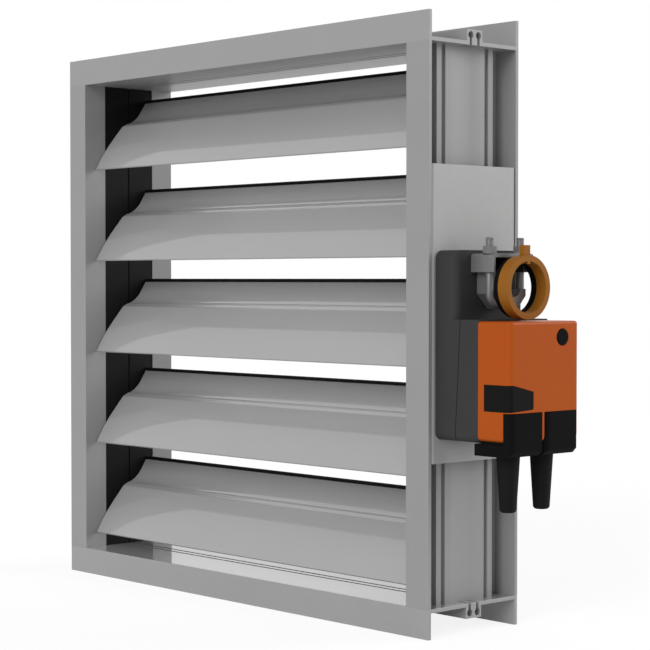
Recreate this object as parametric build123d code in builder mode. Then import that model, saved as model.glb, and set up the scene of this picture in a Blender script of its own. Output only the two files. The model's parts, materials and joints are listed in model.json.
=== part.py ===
import os
from math import acos, cos, pi, radians, sin, tan

from build123d import *

os.makedirs("parts", exist_ok=True)

# Millimetres. X runs across the duct from the frame's middle, Y runs with the air
# from the front flange face, Z is up from the bottom edge of the frame. The actuator
# is on the +X side. Values ending in "out" are measured outwards from the frame's
# +X edge, so they are negative inside the frame.

# Duct frame
frame_width = 395.0
frame_height = 400.0
frame_depth = 84.0
rail_width = 19.5
post_width = 20.3
flange_wall = 2.5
web_wall = 2.5

# Screw channels along the middle of each rail
channel_bore = 4.8
channel_spacing = 7.1
channel_slot = 2.3
channel_wall = 1.2
channel_rise = 6.4

# Hollow posts: a hat section with four outer ribs between the flanges
hat_setback = 15.6
hat_wall = 2.5
crown_out = -8.5
crown_wall = 2.5
rib_edge_width = 4.4
rib_groove_width = 3.6
rib_inner_width = 5.6
rib_groove_depth = 2.2
groove_wall = 1.5
dish_depth = 1.2
lip_reach = 3.4
port_radius = 2.9
port_bore = 1.7
port_sink = 0.5

# Black bearing strips that close the posts towards the air
strip_recess = 0.6
tongue_wall = 1.0
strip_line_width = 1.2
strip_line_depth = 0.6
fit_gap = 0.1
end_gap = 0.2

# Countersunk frame screws
frame_screw_length = 22.0
frame_screw_radius = 1.65
frame_screw_head = 3.8

# Blades, all tilted alike
blade_count = 5
blade_tilt = 41.6
axle_offset = 3.5
blade_end_gap = 0.6
rail_gap = 0.5
blade_lap = 4.75
upper_reach = 30.1
seal_reach = 3.5
hub_radius = 4.8
skin = 1.3
belly_reach = 13.5
belly_rise = 4.6
nose_rise = 1.2
lip_wall = 1.4
heel_inset = 11.2
heel_drop = 1.4
knee_reach = 4.8
knee_rise = 3.3
valley_start = 9.2
valley_start_rise = 0.4
valley_reach = 17.4
valley_drop = 1.0
crest_rise = 1.1
head_wall = 3.9
head_length = 6.5
neck_drop = 4.4

# Seal strip in the top edge of each blade
seal_slot_width = 2.2
seal_slot_depth = 3.4
seal_mouth = 1.2
seal_mouth_wall = 0.9
seal_rise = 2.2

# Blade axles and bushes
axle_square = 5.0
axle_radius = 3.6
axle_depth = 30.0
running_gap = 0.06
bush_wall = 2.0
bush_flange_radius = 7.0
bush_flange_wall = 0.7

# Cranks and push rod inside the right post
crank_room = 1.5
crank_wall = 2.0
crank_hub_radius = 6.5
crank_tip_radius = 4.0
crank_boss_radius = 5.4
crank_rest = 5.0
pin_radius = 2.0
rod_wall = 1.8
rod_width = 7.0
rod_eye_radius = 4.6
slide_gap = 0.3
link_gap = 0.25

# Drive shaft
drive_rise = 20.2
shaft_radius = 6.0
shaft_flat = 9.0
shaft_end_out = 31.0
shaft_chamfer = 0.8
shaft_bush_wall = 2.5
shaft_flange_radius = 10.5
shaft_flange_wall = 1.0
shaft_bush_length = 6.0
drive_hub_radius = 8.2

# Mounting bracket
bracket_drop = 112.5
bracket_length = 191.0
bracket_wall = 1.5
bracket_foot = 9.6
bracket_bend = 1.6
bracket_screw_inset = 16.0
small_screw_radius = 1.5
small_screw_head = 2.9
pan_head_radius = 3.2
pan_head_height = 2.2
hole_gap = 0.15

# Actuator housing
body_width = 65.0
body_height = 120.5
body_top_rise = 23.5
deck_height = 43.8
deck_corner = 5.5
body_wall = 2.0
body_top_corner = 6.0
body_bottom_corner = 5.0
deck_out = 17.1
parting_low_out = 17.6
parting_high_out = 22.0
shell_out = 37.0
cover_out = 63.6
cover_bottom_step = 1.1
cover_top_step = 0.8
cover_corner = 3.5
base_screw_inset = 10.5
base_screw_length = 10.0
base_boss_radius = 3.4
base_boss_height = 8.0

# Terminal plugs and cable boots
plug_rise = 19.4
plug_drop = 7.6
plug_back_out = 34.0
plug_rib = 1.7
plug_rib_shift = -1.55
plug_wall = 2.0
plug_gap = 0.25
plug_corner = 5.6
plug_edge = 1.0
plug_chamfer = 3.0
boot_out = 47.0
boot_shift = 15.675
boot_top_radius = 7.5
boot_end_radius = 5.3
boot_length = 35.9
boot_rim = 1.2
cable_bore = 2.8
cable_bore_depth = 14.0

# Window panel round the front corner of the cover
panel_bottom_rise = 20.3
panel_height = 16.5
panel_front_reach = 21.7
panel_back_out = 42.0
panel_end_bottom = 1.2
panel_end_drop = 4.3
panel_wall = 0.8
panel_corner = 1.2

# Release button in its cup
button_radius = 5.3
button_side = 16.3
button_drop = 10.8
button_proud = 0.6
button_length = 6.6
stem_radius = 2.2
stem_length = 10.2
stem_clip_radius = 3.3
stem_clip_length = 1.2
cup_wall = 1.5
cup_depth = 13.0
button_gap = 0.15

# Output hub and shaft clamp
hub_start_out = 0.4
hub_journal_radius = 8.4
hub_seat_radius = 9.4
hub_deck_radius = 12.6
hub_end_out = 17.4
collar_half_width = 12.9
collar_drop = 13.8
collar_corner = 9.6
clamp_start_out = 17.6
collar_end_out = 26.8
clamp_end_out = 37.5
clamp_half_width = 18.6
clamp_rise = 18.8
clamp_plate = 2.5
clamp_wall = 1.5
clamp_bend = 2.2
clamp_flange_drop = 9.3
bolt_out = 29.8
bolt_radius = 2.5
bolt_half_spacing = 14.3
bolt_rise = 31.5
bolt_drop = 11.2
bolt_bend = 7.5
nut_flats = 8.0
nut_height = 4.7
nut_flange_radius = 4.6
nut_flange_height = 0.9
jaw_inset = 1.9
jaw_top_drop = 1.0
jaw_drop = 13.2

# Position ring and its carrier
carrier_start_out = 37.8
ring_start_out = 42.0
ring_end_out = 50.0
carrier_radius = 19.4
carrier_bore = 15.8
prong_width = 12.0
prong_bottom_rise = 9.5
ring_radius = 20.2
ring_bore = 16.3
tab_width = 5.6
tab_rise = 6.3
tab_setback = 2.6
tab_length = 4.0
nub_width = 2.6
nub_drop = 1.6

# Gear train, motor and circuit board in the housing
pressure_angle = 25.0
backlash = 0.18
addendum = 0.85
dedendum = 1.15
output_teeth = 40
output_module = 1.0
stage_teeth = 32
stage_module = 0.8
pinion_teeth = 12
gear_start_out = 3.0
output_face = 5.0
stage_face = 2.4
gear_layer_gap = 0.4
stage_lean = 27.0
motor_lean = 30.0
spindle_radius = 1.5
gear_plate_wall = 1.6
gear_plate_width = 50.0
gear_plate_height = 44.2
plate_post_radius = 2.6
plate_edge = 1.0
motor_radius = 12.0
motor_length = 26.0
motor_shaft_radius = 1.0
motor_shaft_grip = 3.0
board_out = 33.0
board_wall = 1.6
board_height = 47.0
board_post = 4.0
board_post_length = 11.0

# Places that follow from the sizes above
half_width = frame_width / 2
mid_depth = frame_depth / 2
axle_y = mid_depth - axle_offset
web_x = half_width - post_width
opening_bottom = rail_width
opening_top = frame_height - rail_width
opening_height = opening_top - opening_bottom
hat_back = frame_depth - hat_setback
crown_x = half_width + crown_out
chamber_x = crown_x - crown_wall
lip_y = hat_setback + lip_reach
strip_x = web_x + strip_recess
tongue_x = web_x + web_wall + fit_gap
strip_back_x = tongue_x + tongue_wall
port_x = strip_back_x + fit_gap + port_radius
port_y = hat_setback + hat_wall + port_radius - port_sink
port_places = [(port_x, port_y), (port_x, frame_depth - port_y)]

blade_half = web_x - blade_end_gap
blade_pitch = (opening_height - 2 * rail_gap - blade_lap) / blade_count
lower_reach = blade_pitch + blade_lap - upper_reach - seal_reach
heel_reach = lower_reach - heel_inset
first_axle_z = opening_bottom + rail_gap + lower_reach
axle_zs = [first_axle_z + blade_pitch * step for step in range(blade_count)]
bush_radius = axle_radius + running_gap + bush_wall
bush_x = web_x + strip_recess - bush_flange_wall

drive_height = axle_zs[blade_count // 2] + drive_rise
bracket_bottom = drive_height - bracket_drop
rod_x = strip_back_x + slide_gap
crank_x = rod_x + rod_wall + slide_gap
crank_end_x = crank_x + crank_wall
crank_radius = frame_depth - port_y - port_radius - axle_y - rod_eye_radius - crank_room
pin_y = axle_y + crank_radius * cos(radians(crank_rest))
pin_rise = crank_radius * sin(radians(crank_rest))
shaft_bush_radius = shaft_radius + running_gap + shaft_bush_wall

body_bottom = drive_height + body_top_rise - body_height
body_top = drive_height + body_top_rise
step_z = body_top - deck_height
cover_bottom = body_bottom + cover_bottom_step
cover_top = step_z - cover_top_step
plug_top = body_bottom + plug_rise
plug_bottom = body_bottom - plug_drop
body_side = body_width / 2
bay_side = body_side - plug_wall
bay_spans = [(-bay_side, plug_rib_shift - plug_rib / 2), (plug_rib_shift + plug_rib / 2, bay_side)]

blade_axis = (0, sin(radians(blade_tilt)), cos(radians(blade_tilt)))
crank_axis = (0, cos(radians(crank_rest)), sin(radians(crank_rest)))


def across(x, y=0.0, z=0.0, direction=(0, 1, 0)):
    # Plane that faces +X, with its own x axis along the given direction
    return Plane(origin=(x, y, z), x_dir=direction, z_dir=(1, 0, 0))


def out(distance, y=axle_y, z=0.0):
    return across(half_width + distance, y, z)


def save(piece, name):
    piece.part.label = name
    export_step(piece.part, f"parts/{name}.step")


# Rails run from corner to corner, the posts stand between them
with BuildPart() as top_rail:
    with BuildSketch(across(-half_width, 0, opening_top)):
        with Locations((mid_depth, web_wall / 2)):
            Rectangle(frame_depth, web_wall)
        for flange_y in (flange_wall / 2, frame_depth - flange_wall / 2):
            with Locations((flange_y, rail_width / 2)):
                Rectangle(flange_wall, rail_width)
        channel_top = channel_rise + channel_bore / 2 + channel_wall
        channel_width = channel_spacing + channel_bore + 2 * channel_wall
        with Locations((mid_depth, channel_top / 2)):
            Rectangle(channel_width, channel_top)
        for channel_y in (mid_depth - channel_spacing / 2, mid_depth + channel_spacing / 2):
            with Locations((channel_y, channel_rise)):
                Circle(channel_bore / 2, mode=Mode.SUBTRACT)
            with Locations((channel_y, channel_rise / 2)):
                Rectangle(channel_slot, channel_rise, mode=Mode.SUBTRACT)
    extrude(amount=frame_width)
    with Locations(Plane.XY.offset(opening_top + web_wall)):
        for side in (-1, 1):
            with Locations(*[(side * x, y) for x, y in port_places]):
                CounterSinkHole(frame_screw_radius + hole_gap, frame_screw_head, web_wall, 90)
save(top_rail, "top_rail")

with BuildPart() as bottom_rail:
    mirror(top_rail.part, about=Plane.XY.offset(frame_height / 2))
save(bottom_rail, "bottom_rail")

# Post section on the +X side
with BuildSketch(Plane.XY.offset(opening_bottom)) as post_section:
    for flange_y in (flange_wall / 2, frame_depth - flange_wall / 2):
        with Locations((web_x + post_width / 2, flange_y)):
            Rectangle(post_width, flange_wall)
    with Locations(((web_x + crown_x) / 2, mid_depth)):
        Rectangle(crown_x - web_x, hat_back - hat_setback)
    with Locations((web_x + web_wall / 2, mid_depth)):
        Rectangle(web_wall, frame_depth)
    chamber_start = web_x + web_wall
    with Locations(((chamber_start + chamber_x) / 2, mid_depth)):
        Rectangle(chamber_x - chamber_start, hat_back - hat_setback - 2 * hat_wall, mode=Mode.SUBTRACT)
    with Locations((web_x + web_wall / 2, mid_depth)):
        Rectangle(web_wall, frame_depth - 2 * lip_y, mode=Mode.SUBTRACT)
    groove_y = hat_setback + rib_edge_width + rib_groove_width / 2
    groove_floor = rib_groove_depth + groove_wall
    for place_y in (groove_y, frame_depth - groove_y):
        with Locations((crown_x - groove_floor / 2, place_y)):
            Rectangle(groove_floor, rib_groove_width + 2 * groove_wall)
        with Locations((crown_x - rib_groove_depth / 2, place_y)):
            Rectangle(rib_groove_depth, rib_groove_width, mode=Mode.SUBTRACT)
    dish_width = frame_depth - 2 * (groove_y + rib_groove_width / 2 + rib_inner_width)
    dish_radius = dish_width ** 2 / (8 * dish_depth) + dish_depth / 2
    with Locations((crown_x - dish_depth + dish_radius, mid_depth)):
        Circle(dish_radius, mode=Mode.SUBTRACT)
    for flange_y in (flange_wall / 2, frame_depth - flange_wall / 2):
        with Locations((half_width - flange_wall, flange_y)):
            Rectangle(2 * flange_wall, flange_wall)
    with Locations(*port_places):
        Circle(port_radius)
        Circle(port_bore, mode=Mode.SUBTRACT)

with BuildPart() as left_post:
    extrude(post_section.sketch, amount=opening_height)
    mirror(about=Plane.YZ, mode=Mode.REPLACE)
save(left_post, "left_post")

bracket_screw_y = flange_wall + fit_gap + bracket_wall + bracket_foot / 2
bracket_screw_zs = [bracket_bottom + bracket_screw_inset,
                    bracket_bottom + bracket_length - bracket_screw_inset]
bracket_screw_places = [(y, z) for y in (bracket_screw_y, frame_depth - bracket_screw_y)
                        for z in bracket_screw_zs]

with BuildPart() as right_post:
    extrude(post_section.sketch, amount=opening_height)
    with BuildSketch(across(chamber_x, axle_y, drive_height)):
        Circle(shaft_bush_radius + fit_gap)
    extrude(amount=crown_wall, mode=Mode.SUBTRACT)
    with Locations(Plane(origin=(web_x, 0, 0), x_dir=(0, 1, 0), z_dir=(-1, 0, 0))):
        with Locations(*[(y, -z) for y, z in bracket_screw_places]):
            CounterSinkHole(small_screw_radius + hole_gap, small_screw_head, web_wall, 90)
save(right_post, "right_post")

# Screws from outside each rail into the ports of the posts
with BuildPart() as frame_screws:
    for side in (-1, 1):
        for x, y in port_places:
            with BuildSketch(Plane(origin=(side * x, y, opening_top + web_wall), x_dir=(1, 0, 0),
                                   z_dir=(0, -1, 0))):
                with BuildLine():
                    cone = frame_screw_head - frame_screw_radius
                    Polyline((0, 0), (frame_screw_head - fit_gap, 0),
                             (frame_screw_radius, -cone + fit_gap),
                             (frame_screw_radius, -frame_screw_length + frame_screw_radius),
                             (0, -frame_screw_length), close=True)
                make_face()
            revolve(axis=Axis((side * x, y, 0), (0, 0, 1)))
    mirror(about=Plane.XY.offset(frame_height / 2))
save(frame_screws, "frame_screws")

# Bearing strip with tongues behind the lips of the post
with BuildSketch(Plane.XY.offset(opening_bottom + end_gap)) as strip_section:
    with Locations(((strip_x + strip_back_x) / 2, mid_depth)):
        Rectangle(strip_back_x - strip_x, frame_depth - 2 * (lip_y + fit_gap))
    with Locations(((tongue_x + strip_back_x) / 2, mid_depth)):
        Rectangle(tongue_wall, hat_back - hat_setback - 2 * (hat_wall + fit_gap))
    with Locations((strip_x + strip_line_depth / 2, mid_depth)):
        Rectangle(strip_line_depth, strip_line_width, mode=Mode.SUBTRACT)

with BuildPart() as right_bearing_strip:
    extrude(strip_section.sketch, amount=opening_height - 2 * end_gap)
    with BuildSketch(across(strip_x, axle_y)):
        with Locations(*[(0, axle_z) for axle_z in axle_zs]):
            Circle(bush_radius + fit_gap)
    extrude(amount=strip_back_x - strip_x, mode=Mode.SUBTRACT)
save(right_bearing_strip, "right_bearing_strip")

with BuildPart() as left_bearing_strip:
    mirror(right_bearing_strip.part, about=Plane.YZ)
save(left_bearing_strip, "left_bearing_strip")

with BuildPart() as axle_bushes:
    for axle_z in axle_zs:
        with BuildSketch(across(bush_x, axle_y, axle_z)):
            Circle(bush_flange_radius)
        extrude(amount=bush_flange_wall)
        with BuildSketch(across(strip_x, axle_y, axle_z)):
            Circle(bush_radius)
        extrude(amount=strip_back_x - strip_x)
        with BuildSketch(across(bush_x, axle_y, axle_z)):
            Circle(axle_radius + running_gap)
        extrude(amount=strip_back_x - bush_x, mode=Mode.SUBTRACT)
    mirror(about=Plane.YZ)
save(axle_bushes, "axle_bushes")

# Blades: hollow section drawn square to the axle, x up the chord, y to the front skin
seal_middle = crest_rise - head_wall / 2
for number, axle_z in enumerate(axle_zs, start=1):
    section_plane = across(-blade_half, axle_y, axle_z, blade_axis)
    with BuildPart() as blade:
        with BuildSketch(section_plane) as blade_section:
            Circle(hub_radius)
            with BuildLine():
                nose = (-lower_reach, nose_rise)
                belly = Line((0, hub_radius), (-belly_reach, belly_rise))
                brow = TangentArc(belly @ 1, nose, tangent=belly % 1)
                tip = Line(nose, (-lower_reach, nose_rise - lip_wall))
                heel = Line(tip @ 1, (-heel_reach, -heel_drop))
                back = Line(heel @ 1, (0, -hub_radius))
                Line(back @ 1, (0, hub_radius))
            make_face()
            with BuildLine():
                Polyline((0, hub_radius), (knee_reach, knee_rise), (valley_start, valley_start_rise),
                         (valley_reach, -valley_drop),
                         (upper_reach, crest_rise), (upper_reach, crest_rise - head_wall),
                         (upper_reach - head_length, -neck_drop), (0, -hub_radius), close=True)
            make_face()
            with BuildLine():
                Polyline((-hub_radius, hub_radius - 2 * skin), (-belly_reach, belly_rise - skin),
                         (-heel_reach, nose_rise + lip_wall - skin), (-heel_reach, skin - heel_drop),
                         (-hub_radius, 2 * skin - hub_radius), close=True)
            make_face(mode=Mode.SUBTRACT)
            with Locations((upper_reach - seal_slot_depth / 2 - seal_mouth_wall, seal_middle)):
                Rectangle(seal_slot_depth - seal_mouth_wall, seal_slot_width, mode=Mode.SUBTRACT)
            with Locations((upper_reach - seal_slot_depth / 2, seal_middle)):
                Rectangle(seal_slot_depth, seal_mouth, mode=Mode.SUBTRACT)
            Rectangle(axle_square + 2 * fit_gap, axle_square + 2 * fit_gap, mode=Mode.SUBTRACT)
        extrude(amount=2 * blade_half)
    save(blade, f"blade_{number}")

    with BuildPart() as seal:
        with BuildSketch(section_plane):
            with Locations((upper_reach - seal_slot_depth / 2 - seal_mouth_wall, seal_middle)):
                Rectangle(seal_slot_depth - seal_mouth_wall - 2 * fit_gap, seal_slot_width - 2 * fit_gap)
            with Locations((upper_reach - seal_slot_depth / 2 + seal_reach / 4, seal_middle)):
                Rectangle(seal_slot_depth, seal_mouth - 2 * fit_gap)
            with BuildLine():
                lip_low = (upper_reach, crest_rise - head_wall)
                lip_high = (upper_reach, seal_rise)
                ThreePointArc(lip_low, (upper_reach + seal_reach, seal_middle + seal_rise / 2), lip_high)
                Line(lip_high, lip_low)
            make_face()
        extrude(amount=2 * blade_half)
    save(seal, f"blade_seal_{number}")

    with BuildPart() as axle:
        with BuildSketch(across(blade_half - axle_depth, axle_y, axle_z, blade_axis)):
            Rectangle(axle_square, axle_square)
        extrude(amount=crank_end_x - blade_half + axle_depth)
        with BuildSketch(across(blade_half + fit_gap, axle_y, axle_z)):
            Circle(axle_radius)
        extrude(amount=crank_x - slide_gap - blade_half - fit_gap)
        with BuildSketch(across(-blade_half - fit_gap, axle_y, axle_z)):
            Circle(axle_radius)
        extrude(amount=-(strip_back_x - blade_half))
        with BuildSketch(across(axle_depth - blade_half, axle_y, axle_z, blade_axis)):
            Rectangle(axle_square, axle_square)
        extrude(amount=-axle_depth - 2 * fit_gap)
    save(axle, f"blade_axle_{number}")

    with BuildPart() as crank:
        with BuildSketch(across(crank_x, axle_y, axle_z, crank_axis)):
            Circle(crank_hub_radius)
            with Locations((crank_radius, 0)):
                Circle(crank_tip_radius)
            make_hull()
        extrude(amount=crank_wall)
        with BuildSketch(across(crank_x, axle_y, axle_z)):
            Circle(crank_boss_radius)
        extrude(amount=-rod_wall / 2)
        with BuildSketch(across(crank_x, axle_y, axle_z, crank_axis)):
            with Locations((crank_radius, 0)):
                Circle(pin_radius)
        extrude(amount=-rod_wall - slide_gap)
        with BuildSketch(across(crank_x - rod_wall, axle_y, axle_z)):
            Circle(axle_radius + fit_gap)
        extrude(amount=rod_wall - slide_gap + fit_gap, mode=Mode.SUBTRACT)
        with BuildSketch(across(crank_x - rod_wall, axle_y, axle_z, blade_axis)):
            Rectangle(axle_square + fit_gap, axle_square + fit_gap)
        extrude(amount=rod_wall + crank_wall, mode=Mode.SUBTRACT)
    save(crank, f"blade_crank_{number}")

# Push rod that carries every crank pin
pin_zs = [z + pin_rise for z in axle_zs + [drive_height]]
with BuildPart() as drive_rod:
    with BuildSketch(across(rod_x, pin_y)):
        with Locations((0, (pin_zs[0] + pin_zs[-2]) / 2)):
            Rectangle(rod_width, pin_zs[-2] - pin_zs[0])
        with Locations(*[(0, z) for z in pin_zs]):
            Circle(rod_eye_radius)
        with Locations(*[(0, z) for z in pin_zs[:-1]]):
            Circle(pin_radius + link_gap, mode=Mode.SUBTRACT)
        with Locations((0, pin_zs[-1])):
            Circle(pin_radius + running_gap, mode=Mode.SUBTRACT)
    extrude(amount=rod_wall)
save(drive_rod, "drive_rod")

with BuildPart() as drive_crank:
    with BuildSketch(across(crank_x, axle_y, drive_height, crank_axis)):
        Circle(drive_hub_radius)
        with Locations((crank_radius, 0)):
            Circle(crank_tip_radius)
        make_hull()
    extrude(amount=crank_wall)
    with BuildSketch(across(crank_x, axle_y, drive_height, crank_axis)):
        with Locations((crank_radius, 0)):
            Circle(pin_radius)
    extrude(amount=-rod_wall - slide_gap)
    with BuildSketch(across(crank_x, axle_y, drive_height, crank_axis)):
        Circle(shaft_radius + fit_gap)
        Rectangle(2 * drive_hub_radius, shaft_flat + fit_gap, mode=Mode.INTERSECT)
    extrude(amount=crank_wall, mode=Mode.SUBTRACT)
save(drive_crank, "drive_crank")

with BuildPart() as drive_shaft:
    with BuildSketch(across(crank_end_x, axle_y, drive_height)):
        Circle(shaft_radius)
    extrude(amount=half_width + shaft_end_out - crank_end_x)
    chamfer(faces().sort_by(Axis.X)[-1].edges(), shaft_chamfer)
    with BuildSketch(across(crank_x - rod_wall / 2, axle_y, drive_height, crank_axis)):
        Circle(shaft_radius)
        Rectangle(2 * shaft_radius, shaft_flat, mode=Mode.INTERSECT)
    extrude(amount=crank_end_x - crank_x + rod_wall / 2)
save(drive_shaft, "drive_shaft")

with BuildPart() as shaft_bush:
    with BuildSketch(across(chamber_x, axle_y, drive_height)):
        Circle(shaft_flange_radius)
    extrude(amount=-shaft_flange_wall)
    with BuildSketch(across(chamber_x, axle_y, drive_height)):
        Circle(shaft_bush_radius)
    extrude(amount=shaft_bush_length)
    with BuildSketch(across(chamber_x - shaft_flange_wall, axle_y, drive_height)):
        Circle(shaft_radius + running_gap)
    extrude(amount=shaft_flange_wall + shaft_bush_length, mode=Mode.SUBTRACT)
save(shaft_bush, "shaft_bush")

# Mounting bracket: a bent sheet with feet on the web of the post
mount_screw_side = body_width / 2 - base_screw_inset
mount_screw_places = [(axle_y + side * mount_screw_side, z) for side in (-1, 1)
                      for z in (body_bottom + base_screw_inset, body_top - base_screw_inset)]

with BuildPart() as mounting_bracket:
    with BuildSketch(Plane.XY.offset(bracket_bottom)):
        with BuildLine():
            foot_x = web_x + web_wall + bracket_wall / 2
            leg_y = flange_wall + fit_gap + bracket_wall / 2
            face_x = half_width - bracket_wall / 2
            bends = FilletPolyline((foot_x, leg_y + bracket_foot), (foot_x, leg_y), (face_x, leg_y),
                                   (face_x, frame_depth - leg_y), (foot_x, frame_depth - leg_y),
                                   (foot_x, frame_depth - leg_y - bracket_foot), radius=bracket_bend)
        trace(line_width=bracket_wall)
    extrude(amount=bracket_length)
    with Locations(across(half_width)):
        with Locations((axle_y, drive_height)):
            Hole(shaft_radius + 1, depth=bracket_wall)
        with Locations(*mount_screw_places):
            Hole(small_screw_radius + hole_gap, depth=bracket_wall)
    with Locations(across(foot_x + bracket_wall / 2)):
        with Locations(*bracket_screw_places):
            Hole(small_screw_radius + fit_gap, depth=bracket_wall)
save(mounting_bracket, "mounting_bracket")

with BuildPart() as bracket_screws:
    for y, z in bracket_screw_places:
        with BuildSketch(Plane(origin=(web_x, y, z), x_dir=(1, 0, 0), z_dir=(0, -1, 0))):
            with BuildLine():
                cone = small_screw_head - small_screw_radius
                Polyline((0, 0), (0, small_screw_head - fit_gap), (cone - fit_gap, small_screw_radius),
                         (web_wall + bracket_wall, small_screw_radius), (web_wall + bracket_wall, 0),
                         close=True)
            make_face()
        revolve(axis=Axis((web_x, y, z), (1, 0, 0)))
save(bracket_screws, "bracket_screws")

with BuildPart() as actuator_screws:
    for y, z in mount_screw_places:
        with BuildSketch(across(half_width - bracket_wall, y, z)):
            Circle(pan_head_radius)
        extrude(amount=-pan_head_height)
        with BuildSketch(across(half_width - bracket_wall, y, z)):
            Circle(small_screw_radius)
        extrude(amount=base_screw_length)
save(actuator_screws, "actuator_screws")


def body_outline(depth, inset=0.0):
    # Whole housing seen from the front, with its rounded corners
    with BuildSketch(out(depth)) as outline:
        with Locations((0, (body_bottom + body_top) / 2)):
            Rectangle(body_width - 2 * inset, body_height - 2 * inset)
        fillet(outline.vertices().group_by(Axis.Y)[0], body_bottom_corner - inset)
        fillet(outline.vertices().group_by(Axis.Y)[-1], body_top_corner - inset)
    return outline.sketch


def lower_outline(depth, inset=0.0):
    # Part of the housing below the hub deck
    with BuildSketch(out(depth)) as outline:
        with Locations((0, (body_bottom + step_z) / 2)):
            Rectangle(body_width - 2 * inset, step_z - body_bottom - 2 * inset)
        fillet(outline.vertices().group_by(Axis.Y)[0], body_bottom_corner - inset)
    return outline.sketch


# Gear places, each stage below the one that it drives
output_distance = output_module * (output_teeth + pinion_teeth) / 2
stage_distance = stage_module * (stage_teeth + pinion_teeth) / 2
first_place = (axle_y, drive_height - output_distance)
second_place = (first_place[0] - stage_distance * sin(radians(stage_lean)),
                first_place[1] - stage_distance * cos(radians(stage_lean)))
motor_place = (second_place[0] + stage_distance * sin(radians(motor_lean)),
               second_place[1] - stage_distance * cos(radians(motor_lean)))
first_stage_out = gear_start_out + output_face + gear_layer_gap
second_stage_out = first_stage_out + stage_face + gear_layer_gap
gear_plate_out = second_stage_out + stage_face + gear_layer_gap
plate_top = step_z - body_wall - end_gap
plate_middle = plate_top - gear_plate_height / 2
plate_post_side = gear_plate_width / 2 - plate_post_radius - plate_edge
plate_post_rise = gear_plate_height / 2 - plate_post_radius - plate_edge
plate_posts = [(side * plate_post_side, plate_middle + level * plate_post_rise)
               for side in (-1, 1) for level in (-1, 1)]


def deck_solid(inset):
    # Housing up to the hub deck, its front edges rounded
    with BuildPart() as solid:
        extrude(body_outline(inset, inset), amount=deck_out - 2 * inset)
        with BuildSketch(Plane.XY.offset(body_bottom)) as plan:
            with Locations((half_width + deck_out / 2, axle_y)):
                Rectangle(deck_out - 2 * inset, body_width - 2 * inset)
            fillet(plan.vertices().group_by(Axis.X)[-1], deck_corner - inset)
        extrude(amount=body_height, mode=Mode.INTERSECT)
    return solid.part


# Slanted face where the base and the shell of the housing meet
parting_plane = Plane(origin=(half_width + parting_low_out, axle_y, body_bottom), x_dir=(0, 1, 0),
                      z_dir=(step_z - body_bottom, 0, parting_low_out - parting_high_out))

with BuildPart() as actuator_base:
    add(deck_solid(0))
    extrude(lower_outline(0), amount=parting_high_out)
    split(bisect_by=parting_plane, keep=Keep.BOTTOM)
    add(deck_solid(body_wall), mode=Mode.SUBTRACT)
    extrude(lower_outline(body_wall, body_wall), amount=parting_high_out, mode=Mode.SUBTRACT)
    with BuildSketch(out(0)):
        with Locations(*[(y - axle_y, z) for y, z in mount_screw_places]):
            Circle(base_boss_radius)
    extrude(amount=base_boss_height + body_wall)
    with BuildSketch(out(0)):
        with Locations(*[(y - axle_y, z) for y, z in mount_screw_places]):
            Circle(small_screw_radius + fit_gap)
    extrude(amount=base_boss_height + body_wall, mode=Mode.SUBTRACT)
    with BuildSketch(out(0)):
        with Locations(*plate_posts):
            Circle(plate_post_radius)
    extrude(amount=gear_plate_out)
    with BuildSketch(out(0)):
        with Locations((0, drive_height)):
            Circle(hub_journal_radius + running_gap)
    extrude(amount=body_wall, mode=Mode.SUBTRACT)
    with BuildSketch(out(0)):
        with Locations((0, drive_height)):
            Circle(hub_deck_radius + running_gap)
            Circle(hub_journal_radius + running_gap, mode=Mode.SUBTRACT)
    extrude(amount=body_wall)
    with BuildSketch(out(deck_out)):
        with Locations((0, drive_height)):
            Circle(hub_deck_radius + running_gap)
    extrude(amount=-body_wall, mode=Mode.SUBTRACT)
save(actuator_base, "actuator_base")

# Shell between the slanted face and the coloured cover
board_post_side = body_width / 2 - body_wall - board_post / 2
board_post_places = [(side * board_post_side, step_z - body_wall - rise) for side in (-1, 1)
                     for rise in (board_post, board_height - board_post)]

with BuildPart() as actuator_shell:
    extrude(lower_outline(0), amount=shell_out)
    split(bisect_by=parting_plane, keep=Keep.TOP)
    extrude(lower_outline(0, body_wall), amount=shell_out, mode=Mode.SUBTRACT)
    with BuildSketch(out(board_out)):
        with Locations(*board_post_places):
            Rectangle(board_post, board_post)
    extrude(amount=-board_post_length)
save(actuator_shell, "actuator_shell")


def cover_solid():
    # Outer form of the cover before it is hollowed
    with BuildPart() as solid:
        with BuildSketch(out(shell_out)) as outline:
            with Locations((0, (cover_bottom + cover_top) / 2)):
                Rectangle(body_width, cover_top - cover_bottom)
            fillet(outline.vertices().group_by(Axis.Y)[0], body_bottom_corner - cover_bottom_step)
        extrude(amount=cover_out - shell_out)
        front = solid.faces().sort_by(Axis.X)[-1]
        fillet(front.edges().filter_by(Axis.Z), cover_corner)
    return solid.part


panel_bottom = body_bottom + panel_bottom_rise


def panel_outline(gap):
    # Window outline seen from the front, open-ended past the side of the cover
    with BuildSketch(out(panel_back_out - gap)) as outline:
        with BuildLine():
            left = -body_width / 2 - 1
            right = panel_front_reach - body_width / 2 + gap
            Polyline((left, panel_bottom - gap), (right, panel_bottom + panel_end_bottom - gap),
                     (right, panel_bottom + panel_height - panel_end_drop + gap),
                     (cover_corner - body_width / 2, panel_bottom + panel_height + gap),
                     (left, panel_bottom + panel_height + gap), close=True)
        make_face()
        fillet(outline.vertices().group_by(Axis.X)[-1], panel_corner)
    return outline.sketch


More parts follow.
